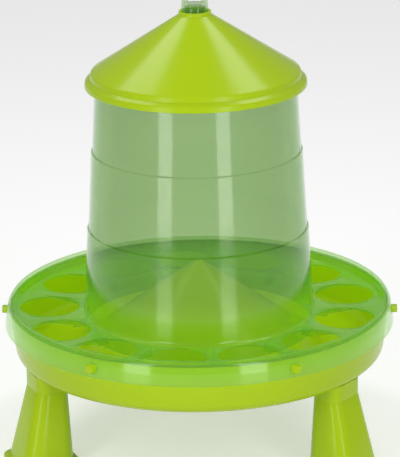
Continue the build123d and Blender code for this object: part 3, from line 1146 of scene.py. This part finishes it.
@dataclass
class Legs:
    """Three hollow legs that flare to a flanged foot, with a spigot for the pan's sockets.

    Args:
        levels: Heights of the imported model.
        plan: Outline at the seam.
        foot_plan: Outline at the ground.
        flange_top: Height of the foot's flange.
        flange: Width of the flange.
        flange_round: Rounding of the flange's upper edge.
        seam_round: Rounding of the leg's upper edge.
        wall: Wall thickness.
        spigot_inset: How far the spigot lies inside the leg's outline.
        spigot_height: Height of the spigot.
    """

    levels: Levels
    plan: LegPlan = field(default_factory=LegPlan)
    foot_plan: LegPlan = field(default_factory=lambda: LegPlan(0.1866, 0.1335, 0.0314, 0.22, 0.0124))
    flange_top: float = 0.0060
    flange: float = 0.0050
    flange_round: float = 0.0015
    seam_round: float = 0.0004
    wall: float = 0.0025
    spigot_inset: float = 0.0028
    spigot_height: float = 0.0132

    def stage(self, plan: LegPlan) -> tuple[float, float, float]:
        """Middle, length and width of an outline."""
        return (plan.outer_r + plan.inner_r) / 2, plan.outer_r - plan.inner_r, 2 * plan.half_width

    def build_one(self) -> Workpiece:
        """Models the leg on the +X side."""
        seam, ground = self.levels.seam, self.levels.foot
        top_mid, top_long, top_wide = self.stage(self.plan)
        foot_mid, foot_long, foot_wide = self.stage(self.foot_plan)
        down = (seam - self.flange_top) / (seam - ground)
        mid = top_mid + (foot_mid - top_mid) * down
        long = top_long + (foot_long - top_long) * down
        wide = top_wide + (foot_wide - top_wide) * down
        leg = Workpiece("leg").draw(self.plan.corners(), sheet=Sheet.LEVEL, level=seam)
        bpy.ops.mesh.select_all(action="SELECT")
        bpy.ops.mesh.edge_face_add()
        bpy.ops.mesh.extrude_region_move(
            TRANSFORM_OT_translate={"value": (mid - top_mid, 0, self.flange_top - seam)})
        self.scale_selected((long / top_long, wide / top_wide), (mid, 0, self.flange_top))
        bpy.ops.mesh.extrude_region_move(TRANSFORM_OT_translate={"value": (0, 0, 0)})
        grow = ((long + 2 * self.flange) / long, (wide + 2 * self.flange) / wide)
        self.scale_selected(grow, (mid, 0, self.flange_top))
        bpy.ops.mesh.extrude_region_move(
            TRANSFORM_OT_translate={"value": (0, 0, ground - self.flange_top)})
        bpy.ops.mesh.select_all(action="SELECT")
        bpy.ops.mesh.normals_make_consistent(inside=False)
        leg.leave()
        leg.round_edges(lambda at, edge: abs(at.z - self.flange_top) < MERGE and self.on_flange(at),
                        self.flange_round, 4)
        leg.round_edges(lambda at, edge: abs(at.z - seam) < MERGE, self.seam_round, 2)
        inset = self.spigot_inset
        spigot = Workpiece("spigot").draw(self.plan.corners(inset), sheet=Sheet.LEVEL, level=seam - 0.004)
        spigot.thicken((0, 0, 0.004 + self.spigot_height))
        leg.combine(spigot, Cut.ADD)
        return self.hollow(leg, mid, long, wide)

    def on_flange(self, at: Vector) -> bool:
        """Whether a point at the flange's height lies on its outer edge."""
        mid, long, wide = self.stage(self.foot_plan)
        return abs(at.x - mid) > long / 2 + self.flange / 2 or abs(at.y) > self.side_at(at.x)

    def side_at(self, x: float) -> float:
        """Half the foot's width at this distance from the axis, half the flange included."""
        return self.foot_plan.half_width - (self.foot_plan.outer_r - x) * self.foot_plan.slope + self.flange / 2

    def hollow(self, leg: Workpiece, mid: float, long: float, wide: float) -> Workpiece:
        """Cuts the inside of the leg, open below and closed at the spigot's top."""
        seam, ground = self.levels.seam, self.levels.foot
        core = Workpiece("core").draw(self.foot_plan.corners(self.wall), sheet=Sheet.LEVEL, level=ground - 0.001)
        foot_mid, foot_long, foot_wide = self.stage(self.foot_plan)
        top_mid, top_long, top_wide = self.stage(self.plan)
        shrink = ((top_long - 2 * self.wall) / (foot_long - 2 * self.wall),
                  (top_wide - 2 * self.wall) / (foot_wide - 2 * self.wall))
        bpy.ops.mesh.select_all(action="SELECT")
        bpy.ops.mesh.edge_face_add()
        height = seam - self.wall - ground + 0.001
        bpy.ops.mesh.extrude_region_move(TRANSFORM_OT_translate={"value": (top_mid - foot_mid, 0, height)})
        self.scale_selected(shrink, (top_mid, 0, seam - self.wall))
        core.close()
        leg.combine(core, Cut.REMOVE)
        inner = Workpiece("inner").draw(self.plan.corners(self.spigot_inset + self.wall), sheet=Sheet.LEVEL,
                                        level=seam - 2 * self.wall)
        inner.thicken((0, 0, self.spigot_height + self.wall))
        return leg.combine(inner, Cut.REMOVE)

    def scale_selected(self, ratio: tuple[float, float], centre: tuple[float, float, float]) -> None:
        """Scales what is selected along X and Y about a point."""
        bpy.ops.transform.resize(value=(ratio[0], ratio[1], 1.0), center_override=centre)

    def build(self, finishes: Finishes) -> list[bpy.types.Object]:
        """Builds and dresses the three legs.

        Args:
            finishes: The feeder's plastics.

        Returns:
            The finished objects.
        """
        model = self.build_one()
        made = []
        for name, angle in LEG_ANGLES.items():
            leg = model.copy(f"{name}_moulding").turn(math.radians(angle))
            made.append(leg.finish([name], finishes.lime, Plastic.LIME))
        bpy.data.objects.remove(model.object)
        return made


@dataclass
class Studio:
    """Pale floor, soft lamps and the camera.

    Args:
        floor_size: Side of the floor.
        camera_distance: Distance from the camera to what it looks at.
        camera_height: Height of the point that it looks at.
        camera_side: Sideways place of that point.
        elevation: Angle of the view above the horizon, in degrees.
        swing: Turn of the view about the feeder's axis, in degrees.
        roll: Turn of the camera about its own axis, in degrees.
        focal_px: Focal length in pixels of the photograph's frame.
        sensor: Width of the camera's sensor, in millimetres.
    """

    floor_size: float = 16.0
    camera_distance: float = 2.452
    camera_height: float = 0.2044
    camera_side: float = 0.0018
    elevation: float = 18.0
    swing: float = 2.2
    roll: float = 0.85
    focal_px: float = 2663.0
    sensor: float = 36.0

    def build(self) -> None:
        """Builds floor, world, lamps and camera, and sets the view transform."""
        self.floor()
        self.world()
        self.lamps()
        self.camera()
        bpy.context.scene.view_settings.view_transform = "Standard"

    def floor(self) -> None:
        """A wide white floor that keeps the feeder's shadow."""
        bpy.ops.object.select_all(action="DESELECT")
        bpy.ops.mesh.primitive_plane_add(size=self.floor_size, location=(0, 0, -0.0005))
        floor = bpy.context.object
        floor.name = "studio_floor"
        material = bpy.data.materials.new("pale_floor")
        material.use_nodes = True
        tree = material.node_tree
        shader = tree.nodes["Principled BSDF"]
        shader.inputs["Base Color"].default_value = (0.82, 0.82, 0.82, 1.0)
        shader.inputs["Roughness"].default_value = 0.9
        shader.inputs["Specular IOR Level"].default_value = 0.0
        glow = add_node(tree, "ShaderNodeEmission")
        path = add_node(tree, "ShaderNodeLightPath")
        seen = path.outputs["Is Camera Ray"]
        for name in ("Is Glossy Ray", "Is Transmission Ray"):
            either = add_node(tree, "ShaderNodeMath", operation="MAXIMUM")
            tree.links.new(seen, either.inputs[0])
            tree.links.new(path.outputs[name], either.inputs[1])
            seen = either.outputs[0]
        strength = add_node(tree, "ShaderNodeMath", operation="MULTIPLY")
        strength.inputs[1].default_value = 0.45
        tree.links.new(seen, strength.inputs[0])
        tree.links.new(strength.outputs[0], glow.inputs["Strength"])
        both = add_node(tree, "ShaderNodeAddShader")
        tree.links.new(shader.outputs[0], both.inputs[0])
        tree.links.new(glow.outputs[0], both.inputs[1])
        tree.links.new(both.outputs[0], tree.nodes["Material Output"].inputs["Surface"])
        floor.data.materials.append(material)

    def world(self) -> None:
        """Even white surroundings, seen as white."""
        world = bpy.data.worlds.new("studio_world")
        bpy.context.scene.world = world
        world.use_nodes = True
        tree = world.node_tree
        tree.nodes["Background"].inputs["Color"].default_value = (1.0, 1.0, 1.0, 1.0)
        tree.nodes["Background"].inputs["Strength"].default_value = 0.36

    def lamp(self, name: str, place: tuple[float, float, float], target: tuple[float, float, float],
             along: tuple[float, float, float], size: tuple[float, float], radiance: float) -> None:
        """An area lamp of this size and brightness that faces a point.

        Args:
            name: Name of the lamp.
            place: Its middle, seen from the foot of the feeder's axis.
            target: The point that it faces, seen from there too.
            along: The way that its length runs, as far as facing the point allows.
            size: Its width and length.
            radiance: How bright its face is.
        """
        light = bpy.data.lights.new(name, "AREA")
        light.shape = "RECTANGLE"
        light.size, light.size_y = size
        light.energy = radiance * math.pi * size[0] * size[1]
        lamp = bpy.data.objects.new(name, light)
        bpy.context.scene.collection.objects.link(lamp)
        back = (Vector(place) - Vector(target)).normalized()
        side = Vector(along).cross(back).normalized()
        turn = Matrix((side, back.cross(side), back)).transposed().to_4x4()
        lamp.matrix_world = Matrix.Translation(Vector(place) + Vector((0, AXIS_Y, 0))) @ turn

    def lamps(self) -> None:
        """Two tall strips beside the camera and a pair of soft boxes overhead."""
        for side, azimuth, width in (("left", -33.5, 0.30), ("right", 28.5, 0.30)):
            turn = math.radians(azimuth + self.swing)
            place = Vector((math.sin(turn), -math.cos(turn), 0)) * 1.15
            self.lamp(f"strip_{side}", (place.x, place.y, 0.75), (0, 0, 0.75), (0, 0, 1), (width, 1.5), 3.4)
        self.lamp("overhead_left", (-0.59, 0.45, 1.5), (0, 0, 0.38), (-0.36, 0.44, 0), (0.35, 0.57), 5.5)
        self.lamp("overhead_right", (0.55, 0.39, 1.5), (0, 0, 0.38), (0.32, 0.34, 0), (0.35, 0.47), 5.5)

    def camera(self) -> None:
        """The camera at the photograph's viewing angle."""
        up = math.radians(self.elevation)
        swing = math.radians(self.swing)
        forward = Vector((-math.sin(swing) * math.cos(up), math.cos(swing) * math.cos(up), -math.sin(up)))
        target = Vector((self.camera_side * math.cos(swing),
                         self.camera_side * math.sin(swing) + AXIS_Y, self.camera_height))
        data = bpy.data.cameras.new("camera")
        data.sensor_width = self.sensor
        data.lens = self.sensor * self.focal_px / PHOTO_LONG_SIDE
        data.clip_end = 50.0
        camera = bpy.data.objects.new("camera", data)
        bpy.context.scene.collection.objects.link(camera)
        look = forward.to_track_quat("-Z", "Y") @ Quaternion((0, 0, 1), -math.radians(self.roll))
        camera.matrix_world = (Matrix.Translation(target - forward * self.camera_distance)
                               @ look.to_matrix().to_4x4())
        bpy.context.scene.camera = camera


def main() -> None:
    """Builds the feeder and its studio in order."""
    logging.basicConfig(level=logging.INFO, format="%(name)s: %(message)s")
    levels = Levels.read()
    Studio().build()
    skin = moulded_skin()
    finishes = Finishes(lime=LimeFinish().make(skin), clear=ClearFinish().make(skin))
    FeedPan(levels).build(finishes)
    HopperRing(levels).build(finishes)
    Lid(levels).build(finishes)
    Hanger(levels).build(finishes)
    Legs(levels).build(finishes)


if __name__ == "__main__":
    main()
